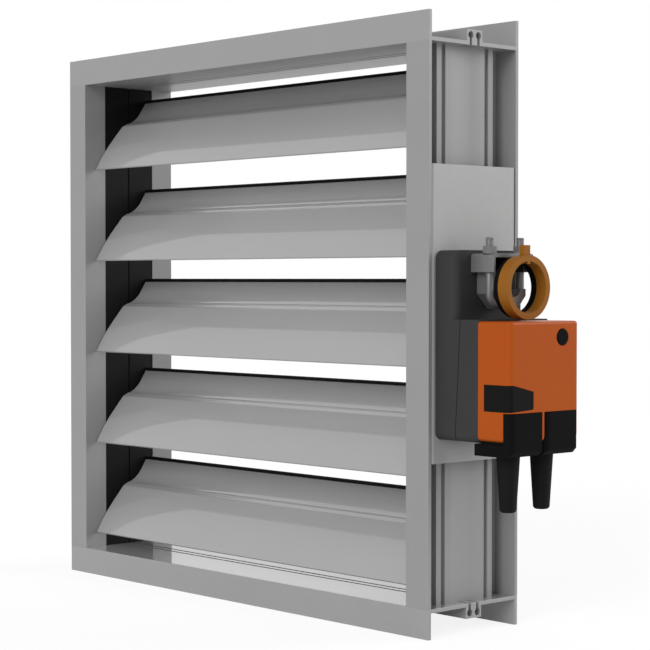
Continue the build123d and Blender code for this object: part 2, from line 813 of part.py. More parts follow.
def panel_solid(gap):
    # Thin shell that follows the outside of the cover within the window outline
    with BuildPart() as solid:
        extrude(panel_outline(gap), amount=cover_out - panel_back_out + 1)
        add(cover_solid(), mode=Mode.INTERSECT)
        with BuildSketch(Plane.XY.offset(panel_bottom - 1)) as core:
            core_depth = cover_out - panel_wall - panel_back_out + 1
            with Locations((half_width + panel_back_out - 1 + core_depth / 2, axle_y + panel_wall)):
                Rectangle(core_depth, body_width)
            fillet(core.vertices().group_by(Axis.X)[-1], cover_corner - panel_wall)
        extrude(amount=panel_height + 2, mode=Mode.SUBTRACT)
    return solid.part


with BuildPart() as window_panel:
    add(panel_solid(0))
save(window_panel, "window_panel")

button_z = step_z - button_drop
with BuildPart() as actuator_cover:
    add(cover_solid())
    with BuildSketch(out(shell_out)):
        with Locations((0, (cover_bottom + cover_top) / 2)):
            Rectangle(body_width - 2 * body_wall, cover_top - cover_bottom - 2 * body_wall)
    extrude(amount=cover_out - shell_out - body_wall, mode=Mode.SUBTRACT)
    # Two bays for the plugs, with a rib between them and a shelf above
    with BuildSketch(out(shell_out)):
        with Locations((0, (cover_bottom + plug_top + plug_gap + body_wall) / 2)):
            Rectangle(body_width - 2 * body_wall, plug_top + plug_gap + body_wall - cover_bottom)
    extrude(amount=cover_out - shell_out - body_wall)
    bay_height = plug_top + plug_gap - body_bottom
    for start, end in bay_spans:
        with BuildSketch(out(shell_out)):
            with Locations(((start + end) / 2, body_bottom + bay_height / 2)):
                Rectangle(end - start, bay_height)
        extrude(amount=cover_out - shell_out, mode=Mode.SUBTRACT)
    # The first plug takes the place of the wall at the front corner
    with BuildSketch(out(cover_out - plug_corner)):
        with Locations((-body_side, body_bottom + bay_height / 2)):
            Rectangle(4 * plug_wall, bay_height)
    extrude(amount=plug_corner, mode=Mode.SUBTRACT)
    # Cup that holds the release button
    with BuildSketch(out(cover_out - cup_depth)):
        with Locations((button_side, button_z)):
            Circle(button_radius + button_gap + cup_wall)
    extrude(amount=cup_depth - body_wall / 2)
    with BuildSketch(out(cover_out - cup_depth + cup_wall)):
        with Locations((button_side, button_z)):
            Circle(button_radius + button_gap)
    extrude(amount=cup_depth - cup_wall, mode=Mode.SUBTRACT)
    with BuildSketch(out(cover_out - cup_depth)):
        with Locations((button_side, button_z)):
            Circle(stem_radius + button_gap)
    extrude(amount=cup_wall, mode=Mode.SUBTRACT)
    add(panel_solid(fit_gap), mode=Mode.SUBTRACT)
save(actuator_cover, "actuator_cover")

with BuildPart() as release_button:
    with BuildSketch(out(cover_out + button_proud)):
        with Locations((button_side, button_z)):
            Circle(button_radius)
    extrude(amount=-button_length)
    chamfer(release_button.faces().sort_by(Axis.X)[-1].edges(), button_proud / 2)
    with BuildSketch(out(cover_out + button_proud - button_length)):
        with Locations((button_side, button_z)):
            Circle(stem_radius)
    extrude(amount=-stem_length)
    clip_out = cover_out - cup_depth - button_gap
    with BuildSketch(out(clip_out)):
        with Locations((button_side, button_z)):
            Circle(stem_clip_radius)
    extrude(amount=-stem_clip_length)
save(release_button, "release_button")

# Terminal plugs: the lower block runs back under the housing, the upper one fills its bay
for number, (bay_start, bay_end) in enumerate(bay_spans, start=1):
    plug_start = -body_side if number == 1 else bay_start + plug_gap
    plug_width = bay_end - plug_gap - plug_start
    plug_middle = plug_start + plug_width / 2
    with BuildPart() as plug:
        low_top = body_bottom - end_gap
        with BuildSketch(out(plug_back_out)):
            with Locations((plug_middle, (plug_bottom + low_top) / 2)):
                Rectangle(plug_width, low_top - plug_bottom)
        extrude(amount=cover_out - plug_back_out)
        with BuildSketch(out(shell_out + fit_gap)):
            with Locations((plug_middle, (low_top + plug_top) / 2)):
                Rectangle(plug_width, plug_top - low_top)
        extrude(amount=cover_out - shell_out - fit_gap)
        front_bottom = plug.faces().sort_by(Axis.X)[-1].edges().filter_by(Axis.Y).sort_by(Axis.Z)[0]
        chamfer(front_bottom, plug_chamfer)
        with BuildSketch(Plane.XY.offset(plug_bottom)) as plan:
            with Locations((half_width + (plug_back_out + cover_out) / 2, axle_y + plug_middle)):
                Rectangle(cover_out - plug_back_out, plug_width)
            corners = plan.vertices().group_by(Axis.X)[-1].sort_by(Axis.Y)
            fillet(corners[0], plug_corner)
            fillet(corners[-1], plug_edge)
        extrude(amount=plug_top - plug_bottom, mode=Mode.INTERSECT)
        if number == 1:
            with BuildSketch(out(shell_out)):
                with Locations((bay_start + plug_gap - plug_wall, (low_top + plug_top) / 2)):
                    Rectangle(2 * plug_wall, plug_top - low_top)
            extrude(amount=cover_out - plug_corner + fit_gap - shell_out, mode=Mode.SUBTRACT)
    save(plug, f"terminal_plug_{number}")

with BuildPart() as cable_boots:
    for side in (-1, 1):
        boot_y = axle_y + side * boot_shift
        with BuildSketch(Plane(origin=(half_width + boot_out, boot_y, plug_bottom), x_dir=(1, 0, 0),
                               z_dir=(0, -1, 0))):
            with BuildLine():
                Polyline((0, 0), (boot_top_radius, 0), (boot_end_radius, boot_rim - boot_length),
                         (boot_end_radius - boot_rim, -boot_length), (cable_bore, -boot_length),
                         (cable_bore, cable_bore_depth - boot_length), (0, cable_bore_depth - boot_length),
                         close=True)
            make_face()
        revolve(axis=Axis((half_width + boot_out, boot_y, 0), (0, 0, 1)))
save(cable_boots, "cable_boots")

# Output hub, its journals running in the back wall and the deck of the base
with BuildPart() as output_hub:
    hub_shoulder_out = first_stage_out + stage_face + gear_layer_gap
    steps = [(hub_start_out, body_wall + slide_gap, hub_journal_radius),
             (body_wall + slide_gap, hub_shoulder_out, hub_seat_radius),
             (hub_shoulder_out, hub_end_out, hub_deck_radius)]
    for start, end, radius in steps:
        with BuildSketch(out(start, z=drive_height)):
            Circle(radius)
            Circle(shaft_radius + fit_gap, mode=Mode.SUBTRACT)
        extrude(amount=end - start)
save(output_hub, "output_hub")


def gear_outline(plane, teeth, module, tooth_angle):
    # Involute spur gear with one tooth centred on the given angle
    pitch_radius = teeth * module / 2
    base_radius = pitch_radius * cos(radians(pressure_angle))
    tip_radius = pitch_radius + addendum * module
    root_radius = pitch_radius - dedendum * module
    roll = tan(radians(pressure_angle)) - radians(pressure_angle)
    radii = [root_radius, max(root_radius, base_radius), pitch_radius, tip_radius]
    half_angles = []
    for radius in radii:
        turn = acos(min(1.0, base_radius / radius))
        half_angles.append(pi / (2 * teeth) - backlash / (2 * pitch_radius) + roll - tan(turn) + turn)
    points = []
    for tooth in range(teeth):
        middle = radians(tooth_angle) + 2 * pi * tooth / teeth
        flank = [(radius, middle - half) for radius, half in zip(radii, half_angles)]
        flank += [(radius, middle + half) for radius, half in zip(radii[::-1], half_angles[::-1])]
        for radius, angle in flank:
            if not points or (points[-1] - Vector(radius * cos(angle), radius * sin(angle))).length > 0.01:
                points.append(Vector(radius * cos(angle), radius * sin(angle)))
    with BuildSketch(plane) as outline:
        with BuildLine():
            Polyline(*points, close=True)
        make_face()
    return outline.sketch


with BuildPart() as output_gear:
    extrude(gear_outline(out(gear_start_out, z=drive_height), output_teeth, output_module, -90),
            amount=output_face)
    with BuildSketch(out(gear_start_out, z=drive_height)):
        Circle(hub_seat_radius + running_gap)
    extrude(amount=output_face, mode=Mode.SUBTRACT)
save(output_gear, "output_gear")

first_turn = -90 - stage_lean
second_turn = -90 + motor_lean
with BuildPart() as stage_gear_1:
    extrude(gear_outline(out(gear_start_out, *first_place), pinion_teeth, output_module,
                         90 + 180 / pinion_teeth), amount=output_face)
    with BuildSketch(out(gear_start_out + output_face, *first_place)):
        Circle(plate_post_radius)
    extrude(amount=gear_layer_gap)
    extrude(gear_outline(out(first_stage_out, *first_place), stage_teeth, stage_module, first_turn),
            amount=stage_face)
    with BuildSketch(out(gear_start_out, *first_place)):
        Circle(spindle_radius + running_gap)
    extrude(amount=first_stage_out + stage_face - gear_start_out, mode=Mode.SUBTRACT)
save(stage_gear_1, "stage_gear_1")

with BuildPart() as stage_gear_2:
    extrude(gear_outline(out(first_stage_out, *second_place), pinion_teeth, stage_module,
                         first_turn + 180 + 180 / pinion_teeth), amount=stage_face)
    with BuildSketch(out(first_stage_out + stage_face, *second_place)):
        Circle(plate_post_radius)
    extrude(amount=gear_layer_gap)
    extrude(gear_outline(out(second_stage_out, *second_place), stage_teeth, stage_module, second_turn),
            amount=stage_face)
    with BuildSketch(out(first_stage_out, *second_place)):
        Circle(spindle_radius + running_gap)
    extrude(amount=second_stage_out + stage_face - first_stage_out, mode=Mode.SUBTRACT)
save(stage_gear_2, "stage_gear_2")

with BuildPart() as gear_spindles:
    for place, start in ((first_place, gear_start_out), (second_place, first_stage_out)):
        with BuildSketch(out(body_wall, *place)):
            Circle(spindle_radius)
        extrude(amount=gear_plate_out - body_wall)
        with BuildSketch(out(body_wall, *place)):
            Circle(plate_post_radius)
        extrude(amount=start - body_wall - slide_gap)
save(gear_spindles, "gear_spindles")

with BuildPart() as motor_pinion:
    extrude(gear_outline(out(second_stage_out, *motor_place), pinion_teeth, stage_module,
                         second_turn + 180 + 180 / pinion_teeth), amount=stage_face)
    with BuildSketch(out(second_stage_out, *motor_place)):
        Circle(motor_shaft_radius)
    extrude(amount=gear_plate_out + gear_plate_wall + motor_shaft_grip - second_stage_out)
save(motor_pinion, "motor_pinion")

with BuildPart() as gear_plate:
    with BuildSketch(out(gear_plate_out)):
        with Locations((0, plate_middle)):
            RectangleRounded(gear_plate_width, gear_plate_height, plate_post_radius)
        with Locations((motor_place[0] - axle_y, motor_place[1])):
            Circle(motor_shaft_radius + hole_gap, mode=Mode.SUBTRACT)
    extrude(amount=gear_plate_wall)
save(gear_plate, "gear_plate")

with BuildPart() as motor:
    motor_start_out = gear_plate_out + gear_plate_wall
    with BuildSketch(out(motor_start_out, *motor_place)):
        Circle(motor_radius)
    extrude(amount=motor_length)
    fillet(motor.faces().sort_by(Axis.X)[-1].edges(), plate_post_radius)
    with BuildSketch(out(motor_start_out, *motor_place)):
        Circle(motor_shaft_radius + running_gap)
    extrude(amount=motor_shaft_grip + fit_gap, mode=Mode.SUBTRACT)
save(motor, "motor")

with BuildPart() as circuit_board:
    with BuildSketch(out(board_out)):
        with Locations((0, step_z - body_wall - board_height / 2)):
            Rectangle(body_width - 2 * body_wall - 2 * end_gap, board_height - 2 * end_gap)
        with Locations((motor_place[0] - axle_y, motor_place[1])):
            Circle(motor_radius + slide_gap, mode=Mode.SUBTRACT)
    extrude(amount=board_wall)
save(circuit_board, "circuit_board")

# Shaft clamp: a body with a cross plate, a U-bolt, its nuts and a jaw
jaw_half_width = collar_half_width - jaw_inset
with BuildPart() as clamp_body:
    with BuildSketch(out(clamp_start_out, z=drive_height)) as clamp_outline:
        with Locations((0, (clamp_rise - collar_drop) / 2)):
            Rectangle(2 * collar_half_width, clamp_rise + collar_drop)
        chamfer(clamp_outline.vertices().group_by(Axis.Y)[0], collar_corner)
        Circle(shaft_radius + running_gap, mode=Mode.SUBTRACT)
    extrude(amount=collar_end_out - clamp_start_out)
    with BuildSketch(out(clamp_start_out, z=drive_height)) as clamp_outline:
        with Locations((0, clamp_rise + clamp_plate / 2)):
            Rectangle(2 * clamp_half_width, clamp_plate)
        for side in (-1, 1):
            flange_middle = clamp_half_width - clamp_wall / 2
            with Locations((side * flange_middle, clamp_rise - clamp_flange_drop / 2)):
                Rectangle(clamp_wall, clamp_flange_drop)
        fillet(clamp_outline.vertices().group_by(Axis.Y)[-1], clamp_bend)
    extrude(amount=clamp_end_out - clamp_start_out)
    with BuildSketch(Plane.XY.offset(drive_height + clamp_rise)):
        for side in (-1, 1):
            with Locations((half_width + bolt_out, axle_y + side * bolt_half_spacing)):
                Circle(bolt_radius + hole_gap)
    extrude(amount=clamp_plate, mode=Mode.SUBTRACT)
save(clamp_body, "clamp_body")


def bolt_solid(gap):
    # Bent rod of the U-bolt, open at the top
    with BuildPart() as solid:
        with BuildLine(out(bolt_out, z=drive_height)) as route:
            FilletPolyline((-bolt_half_spacing, bolt_rise), (-bolt_half_spacing, -bolt_drop),
                           (bolt_half_spacing, -bolt_drop), (bolt_half_spacing, bolt_rise),
                           radius=bolt_bend)
        with BuildSketch(Plane(origin=route.line @ 0, x_dir=(1, 0, 0), z_dir=(0, 0, -1))):
            Circle(bolt_radius + gap)
        sweep(path=route.line)
    return solid.part


with BuildPart() as clamp_u_bolt:
    add(bolt_solid(0))
save(clamp_u_bolt, "clamp_u_bolt")

with BuildPart() as clamp_nuts:
    for side in (-1, 1):
        with BuildSketch(Plane(origin=(half_width + bolt_out, axle_y + side * bolt_half_spacing,
                                       drive_height + clamp_rise + clamp_plate))):
            RegularPolygon(nut_flats / 2, 6, major_radius=False)
            Circle(bolt_radius + running_gap, mode=Mode.SUBTRACT)
        extrude(amount=nut_height)
        with BuildSketch(Plane(origin=(half_width + bolt_out, axle_y + side * bolt_half_spacing,
                                       drive_height + clamp_rise + clamp_plate))):
            Circle(nut_flange_radius)
            Circle(bolt_radius + running_gap, mode=Mode.SUBTRACT)
        extrude(amount=nut_flange_height)
save(clamp_nuts, "clamp_nuts")

with BuildPart() as clamp_jaw:
    with BuildSketch(out(bolt_out, z=drive_height)) as jaw_outline:
        with Locations((0, -(jaw_drop + jaw_top_drop) / 2)):
            Rectangle(2 * jaw_half_width, jaw_drop - jaw_top_drop)
        chamfer(jaw_outline.vertices().group_by(Axis.Y)[0], collar_corner - jaw_inset)
        Circle(shaft_radius + fit_gap, mode=Mode.SUBTRACT)
    extrude(amount=clamp_end_out - bolt_out)
    add(bolt_solid(fit_gap), mode=Mode.SUBTRACT)
save(clamp_jaw, "clamp_jaw")

# Ring carrier with a prong under the cross plate, and the position ring in front of it
with BuildPart() as ring_carrier:
    with BuildSketch(out(carrier_start_out, z=drive_height)):
        Circle(carrier_radius)
        Circle(carrier_bore, mode=Mode.SUBTRACT)
    extrude(amount=ring_start_out - carrier_start_out)
    prong_height = clamp_rise - fit_gap - prong_bottom_rise
    with BuildSketch(out(collar_end_out + fit_gap, z=drive_height)):
        with Locations((0, prong_bottom_rise + prong_height / 2)):
            Rectangle(prong_width, prong_height)
    extrude(amount=carrier_start_out - collar_end_out + 2)
save(ring_carrier, "ring_carrier")

with BuildPart() as position_ring:
    with BuildSketch(out(ring_start_out, z=drive_height)):
        Circle(ring_radius)
        Circle(ring_bore, mode=Mode.SUBTRACT)
        with Locations((0, ring_bore)):
            Rectangle(nub_width, 2 * nub_drop)
    extrude(amount=ring_end_out - ring_start_out)
    with BuildSketch(out(ring_start_out + tab_setback, z=drive_height)):
        tab_start = (ring_radius + ring_bore) / 2
        with Locations((0, (tab_start + ring_radius + tab_rise) / 2)):
            Rectangle(tab_width, ring_radius + tab_rise - tab_start)
    extrude(amount=tab_length)
save(position_ring, "position_ring")
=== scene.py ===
import json
from math import radians

import bmesh
import bpy
from mathutils import Matrix, Vector


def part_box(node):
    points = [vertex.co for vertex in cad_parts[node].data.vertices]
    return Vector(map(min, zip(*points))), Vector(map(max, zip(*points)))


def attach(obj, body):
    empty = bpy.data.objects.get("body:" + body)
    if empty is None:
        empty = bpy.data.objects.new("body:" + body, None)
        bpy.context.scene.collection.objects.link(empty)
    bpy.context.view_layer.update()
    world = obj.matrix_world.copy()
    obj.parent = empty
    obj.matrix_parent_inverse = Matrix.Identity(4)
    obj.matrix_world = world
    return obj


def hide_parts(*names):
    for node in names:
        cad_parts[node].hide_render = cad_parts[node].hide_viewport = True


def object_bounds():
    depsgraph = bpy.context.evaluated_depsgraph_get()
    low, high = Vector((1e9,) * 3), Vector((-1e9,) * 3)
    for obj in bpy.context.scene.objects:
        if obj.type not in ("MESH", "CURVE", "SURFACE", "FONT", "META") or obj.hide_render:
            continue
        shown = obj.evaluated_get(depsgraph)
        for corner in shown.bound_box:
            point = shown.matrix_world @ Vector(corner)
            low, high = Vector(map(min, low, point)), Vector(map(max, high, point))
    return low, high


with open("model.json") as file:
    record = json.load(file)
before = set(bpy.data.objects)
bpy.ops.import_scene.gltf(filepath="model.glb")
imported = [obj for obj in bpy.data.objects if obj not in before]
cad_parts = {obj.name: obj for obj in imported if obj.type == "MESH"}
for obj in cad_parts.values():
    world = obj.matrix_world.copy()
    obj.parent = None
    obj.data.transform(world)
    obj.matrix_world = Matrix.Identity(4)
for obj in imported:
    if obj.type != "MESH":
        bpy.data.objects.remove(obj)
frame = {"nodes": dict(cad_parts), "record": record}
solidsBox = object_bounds()
bodies = frame["record"]["behaviour"]["bodies"]
bodyOfNode = {node: body for body, nodes in bodies.items() for node in nodes}
mm = 0.001  # every length in the dictionaries below is in millimetres, and every angle in degrees


# Materials are built from sockets, so that an expression on them adds its Math nodes

class Wire:
    def __init__(self, nodes, socket):
        self.nodes = nodes
        self.socket = socket

    def combine(self, operation, first, second):
        return self.nodes.node("ShaderNodeMath", {"operation": operation}, {0: first, 1: second})

    def __add__(self, other):
        return self.combine("ADD", self, other)

    def __radd__(self, other):
        return self.combine("ADD", other, self)

    def __sub__(self, other):
        return self.combine("SUBTRACT", self, other)

    def __rsub__(self, other):
        return self.combine("SUBTRACT", other, self)

    def __mul__(self, other):
        return self.combine("MULTIPLY", self, other)

    def __rmul__(self, other):
        return self.combine("MULTIPLY", other, self)

    def __gt__(self, other):
        return self.combine("GREATER_THAN", self, other)


class Nodes:
    def __init__(self, tree):
        self.tree = tree
        self.tree.nodes.clear()

    def node(self, kind, settings=None, values=None, output=0):
        made = self.tree.nodes.new(kind)
        for setting, value in (settings or {}).items():
            setattr(made, setting, value)
        self.feed(made, values or {})
        return Wire(self, made.outputs[output]) if made.outputs else None

    def feed(self, made, values):
        for name, value in values.items():
            socket = made.inputs[name]
            if isinstance(value, Wire):
                self.tree.links.new(value.socket, socket)
            elif isinstance(value, tuple) and socket.type == "RGBA":
                socket.default_value = (*value, 1)
            else:
                socket.default_value = value


noiseKinds = {"lines": {"Detail": 4.0, "Roughness": 0.6}, "patches": {"Detail": 3.0, "Roughness": 0.55},
              "grain": {"Detail": 2.0, "Roughness": 0.5}, "cloud": {"Detail": 4.0, "Roughness": 0.55}}
noiseMiddle = 0.5  # the value that a noise varies about


class Finish(Nodes):
    # one material with its shader and the nodes behind it
    def __init__(self, name, **constants):
        self.material = bpy.data.materials.new(name)
        self.material.use_nodes = True
        super().__init__(self.material.node_tree)
        self.shader = self.node("ShaderNodeBsdfPrincipled")
        self.node("ShaderNodeOutputMaterial", None, {"Surface": self.shader})
        self.set(**constants)

    def set(self, **values):
        self.feed(self.shader.socket.node, {name.replace("_", " "): value for name, value in values.items()})

    def place(self, scale=(1.0, 1.0, 1.0)):
        objectPlace = self.node("ShaderNodeTexCoord", output=3)
        return self.node("ShaderNodeMapping", None, {"Vector": objectPlace, "Scale": scale})

    def noise(self, kind, vector, scale=1.0):
        return self.node("ShaderNodeTexNoise", {"noise_dimensions": "3D"},
                         {"Vector": vector, "Scale": scale, **noiseKinds[kind]})

    def mix(self, share, first, second):
        return self.node("ShaderNodeMix", {"data_type": "RGBA"}, {0: share, 6: first, 7: second}, output=2)

    def bump(self, height, distance):
        self.set(Normal=self.node("ShaderNodeBump", None, {"Height": height, "Distance": distance}))


def drawnMetal(name, along, look):
    # aluminium or steel with fine lines along the way it was drawn
    finish = Finish(name)
    stretch = [look["grain"]] * 3
    stretch[along] = look["grain"] * look["stretch"]
    lines = finish.noise("lines", finish.place(tuple(stretch)))
    patches = finish.noise("patches", finish.place(), look["patches"])
    shade = lines * look["lineShare"] + patches * (1 - look["lineShare"])
    colour = finish.mix(shade, look["dark"], look["light"])
    finish.set(Base_Color=colour, Metallic=look["metallic"], Specular_IOR_Level=look["specular"],
               Roughness=look["roughness"] + (lines - noiseMiddle) * look["roughSpread"])
    if "coat" in look:
        finish.set(Coat_Weight=look["coat"], Coat_Roughness=look["coatRoughness"], Coat_IOR=look["coatIor"])
    finish.bump(lines, look["lineDepth"])
    return finish.material


def mouldedPlastic(name, look):
    # plastic with the fine texture of its mould
    finish = Finish(name)
    grain = finish.noise("grain", finish.place(), look["grain"])
    cloud = finish.noise("cloud", finish.place(), look["cloud"])
    finish.set(Base_Color=finish.mix(cloud, look["dark"], look["light"]), Specular_IOR_Level=look["specular"],
               Roughness=look["roughness"] + (cloud - noiseMiddle) * look["roughSpread"])
    finish.bump(grain, look["depth"])
    return finish.material


def grey(level, warm=0.0):
    return (level * (1 + warm), level, level * (1 - warm))


# The looks of the metals: the depths of their lines are in metres, as the shader takes them
frameLook = {"dark": grey(0.26), "light": grey(0.31), "metallic": 0.1, "roughness": 0.45, "roughSpread": 0.08,
             "specular": 0.2, "grain": 1400.0, "stretch": 0.006, "lineShare": 0.35, "patches": 14.0,
             "lineDepth": 0.000004, "coat": 1.0, "coatRoughness": 0.06, "coatIor": 1.5}
postLook = {**frameLook, "coat": 0.3, "coatRoughness": 0.35}
# the top rail is the same metal as the frame, painted lighter as painted light on the upper rail, and with a
# thinner coat
topRailPaintedLightLook = {**frameLook, "dark": grey(0.285), "light": grey(0.335), "coat": 0.25, "coatRoughness": 0.25}
bladeLook = {**frameLook, "dark": grey(0.335), "light": grey(0.375), "lineDepth": 0.000001}
bracketLook = {**frameLook, "dark": grey(0.32, 0.004), "light": grey(0.36, 0.004), "roughness": 0.55,
               "grain": 500.0, "stretch": 0.5, "lineShare": 0.5, "patches": 60.0, "coatRoughness": 0.2}
zincLook = {"dark": grey(0.145, 0.005), "light": grey(0.195, 0.005), "metallic": 0.4, "roughness": 0.42,
            "roughSpread": 0.16, "specular": 0.4, "grain": 900.0, "stretch": 0.3, "lineShare": 0.4,
            "patches": 220.0, "lineDepth": 0.00001}
brassLook = {**zincLook, "dark": (0.45, 0.30, 0.09), "light": (0.55, 0.38, 0.12), "metallic": 0.9}

# The looks of the plastics, with the depth of their grain in metres too
plasticLook = {"dark": grey(0.004), "light": grey(0.006), "roughness": 0.6, "roughSpread": 0.08, "specular": 0.03,
               "grain": 2600.0, "cloud": 60.0, "depth": 0.00001}
housingLook = {**plasticLook, "dark": grey(0.034), "light": grey(0.040), "specular": 0.12, "depth": 0.00002}
stripLook = {**plasticLook, "roughness": 0.55, "specular": 0.12}
boardLook = {**plasticLook, "dark": (0.01, 0.07, 0.03), "light": (0.015, 0.09, 0.04), "roughness": 0.4}
gearLook = {**plasticLook, "dark": (0.62, 0.60, 0.54), "light": (0.68, 0.66, 0.60), "roughness": 0.45}
orangeLook = {**plasticLook, "dark": (0.38, 0.068, 0.003), "light": (0.42, 0.077, 0.004), "roughness": 0.3,
              "roughSpread": 0.06, "specular": 0.12, "depth": 0.000002}
ringLook = {**plasticLook, "dark": (0.25, 0.095, 0.010), "light": (0.29, 0.11, 0.012), "roughness": 0.45,
            "specular": 0.12}
windowLook = {**plasticLook, "dark": grey(0.006), "light": grey(0.008), "roughness": 0.45, "specular": 0.04,
              "depth": 0.000003}
rubberLook = {**plasticLook, "roughness": 0.65, "specular": 0.1, "depth": 0.00002}

alongX, alongZ = 0, 2
drawnPaints = {"railMetal": (alongX, frameLook), "topRailPaintedLightMetal": (alongX, topRailPaintedLightLook),
               "postMetal": (alongZ, postLook), "bladeMetal": (alongX, bladeLook),
               "bracketMetal": (alongZ, bracketLook), "zinc": (alongX, zincLook), "brass": (alongX, brassLook)}
mouldedPaints = {"blackPlastic": plasticLook, "housingPlastic": housingLook, "stripPlastic": stripLook,
                 "boardGreen": boardLook, "gearPlastic": gearLook, "orangePlastic": orangeLook,
                 "ringPlastic": ringLook, "windowPlastic": windowLook, "rubber": rubberLook}
paints = {name: drawnMetal(name, along, look) for name, (along, look) in drawnPaints.items()}
paints.update({name: mouldedPlastic(name, look) for name, look in mouldedPaints.items()})
print("materials made", len(paints))

bladeCount = 5
nodePaint = {
    "top_rail": "topRailPaintedLightMetal", "bottom_rail": "railMetal", "left_post": "postMetal", "right_post": "postMetal",
    "left_bearing_strip": "stripPlastic", "right_bearing_strip": "stripPlastic", "axle_bushes": "stripPlastic",
    "shaft_bush": "stripPlastic", "mounting_bracket": "bracketMetal", "actuator_base": "housingPlastic",
    "actuator_shell": "housingPlastic", "actuator_cover": "orangePlastic", "window_panel": "windowPlastic",
    "terminal_plug_1": "blackPlastic", "terminal_plug_2": "blackPlastic", "cable_boots": "rubber",
    "circuit_board": "boardGreen", "output_hub": "housingPlastic", "output_gear": "gearPlastic",
    "stage_gear_1": "gearPlastic", "stage_gear_2": "gearPlastic", "motor_pinion": "brass",
    "ring_carrier": "blackPlastic", "position_ring": "ringPlastic", "release_button": "blackPlastic",
}
for number in range(1, bladeCount + 1):
    nodePaint[f"blade_{number}"] = "bladeMetal"
    nodePaint[f"blade_seal_{number}"] = "rubber"


def paint(piece, node):
    # a node that the list above leaves out is zinc-plated steel
    piece.data.materials.clear()
    piece.data.materials.append(paints[nodePaint.get(node, "zinc")])


for node, piece in frame["nodes"].items():
    paint(piece, node)
print("solids painted", len(frame["nodes"]))


def onlyThis(piece):
    bpy.ops.object.select_all(action="DESELECT")
    piece.select_set(True)
    bpy.context.view_layer.objects.active = piece


def edited(piece, *steps):
    # runs edit mode operators on one piece
    onlyThis(piece)
    bpy.ops.object.mode_set(mode="EDIT")
    bpy.ops.mesh.select_all(action="SELECT")
    for step in steps:
        step()
    bpy.ops.object.mode_set(mode="OBJECT")


def applied(piece, kind, **settings):
    modifier = piece.modifiers.new(kind.lower(), kind)
    for setting, value in settings.items():
        setattr(modifier, setting, value)
    onlyThis(piece)
    bpy.ops.object.modifier_apply(modifier=modifier.name)


def pick(piece, kind, test):
    # selects the edges or the faces that pass a test, in edit mode
    shape = bmesh.from_edit_mesh(piece.data)
    bpy.ops.mesh.select_mode(type=kind)
    bpy.ops.mesh.select_all(action="DESELECT")
    for part in shape.edges if kind == "EDGE" else shape.faces:
        part.select_set(test(part))
    bmesh.update_edit_mesh(piece.data)


def roundEdges(piece, test, look):
    # rounds the edges that pass a test
    edited(piece, lambda: pick(piece, "EDGE", test),
           lambda: bpy.ops.mesh.bevel(offset=look["width"] * mm, segments=look["segments"], affect="EDGES",
                                      clamp_overlap=True))


def shadedSmooth(piece, sharp):
    onlyThis(piece)
    bpy.ops.object.shade_smooth_by_angle(angle=radians(sharp))


copyShape = {"merge": 0.02, "flat": 0.5}


def copyOf(node):
    # a merged copy of a solid, to be shaped further
    piece = frame["nodes"][node].copy()
    piece.data = piece.data.copy()
    piece.name = piece.data.name = node + "_skin"
    for key in list(piece.keys()):
        del piece[key]
    piece.parent = None
    piece.matrix_world = Matrix.Identity(4)
    bpy.context.scene.collection.objects.link(piece)
    edited(piece, lambda: bpy.ops.mesh.remove_doubles(threshold=copyShape["merge"] * mm),
           lambda: bpy.ops.mesh.dissolve_limited(angle_limit=radians(copyShape["flat"])))
    return piece


def standsFor(piece, node):
    paint(piece, node)
    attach(piece, bodyOfNode[node])
    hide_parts(node)


def looseBoxes(piece):
    # low and high corner of each separate body in a mesh
    points = [vertex.co for vertex in piece.data.vertices]
    group = list(range(len(points)))

    def rootOf(index):
        while group[index] != index:
            group[index] = group[group[index]]
            index = group[index]
        return index

    for edge in piece.data.edges:
        group[rootOf(edge.vertices[0])] = rootOf(edge.vertices[1])
    clusters = {}
    for index, point in enumerate(points):
        clusters.setdefault(rootOf(index), []).append(point)
    return [(Vector(min(point[axis] for point in cluster) for axis in range(3)),
             Vector(max(point[axis] for point in cluster) for axis in range(3))) for cluster in clusters.values()]


# Width of the rounded edges
edgeWidths = {"top_rail": 0.25, "bottom_rail": 0.25, "left_post": 0.25, "right_post": 0.25,
              "mounting_bracket": 0.2, "actuator_base": 0.8, "actuator_shell": 0.5, "actuator_cover": 0.5,
              "terminal_plug_1": 0.6, "terminal_plug_2": 0.6, "cable_boots": 0.8, "release_button": 0.3,
              "clamp_body": 0.5, "clamp_jaw": 0.5, "clamp_nuts": 0.3, "position_ring": 0.5, "ring_carrier": 0.3}
edgeShape = {"segments": 2, "sharp": 35, "flatWeight": 100}


def smoothed(piece, width, sharp, flat=True):
    # rounds the sharp edges and, unless told otherwise, keeps the flat faces flat
    shadedSmooth(piece, sharp)
    applied(piece, "BEVEL", width=width * mm, segments=edgeShape["segments"], limit_method="ANGLE",
            angle_limit=radians(sharp), harden_normals=flat, use_clamp_overlap=True)
    if flat:
        applied(piece, "WEIGHTED_NORMAL", keep_sharp=True, weight=edgeShape["flatWeight"])


# The orange cover is rounder along its top
coverEdge = {"width": 1.9, "segments": 5, "sharp": 60, "near": 0.05}
coverLow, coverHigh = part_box("actuator_cover")


def coverOutline(edge):
    # the edges round the top of the cover, apart from the one on the housing
    if len(edge.link_faces) != 2 or edge.calc_face_angle() < radians(coverEdge["sharp"]):
        return False
    places = [vert.co for vert in edge.verts]
    near = coverEdge["near"] * mm
    top = all(coverHigh[2] - place.z < near for place in places)
    back = all(place.x - coverLow[0] < near for place in places)
    return top and not back


# Groove round the housing, in the base just behind the face where base and shell meet.
# The faces of the outside are the ones within "outside" of the housing's box.
partingShape = {"lip": 0.1, "width": 0.5, "depth": 0.9, "outside": 1.6, "slack": 0.01}
shellLow, shellHigh = (Vector(corner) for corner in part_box("actuator_shell"))
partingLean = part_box("actuator_base")[1][0] - shellLow.x
partingNormal = Vector((shellHigh.z - shellLow.z, 0, -partingLean)).normalized()


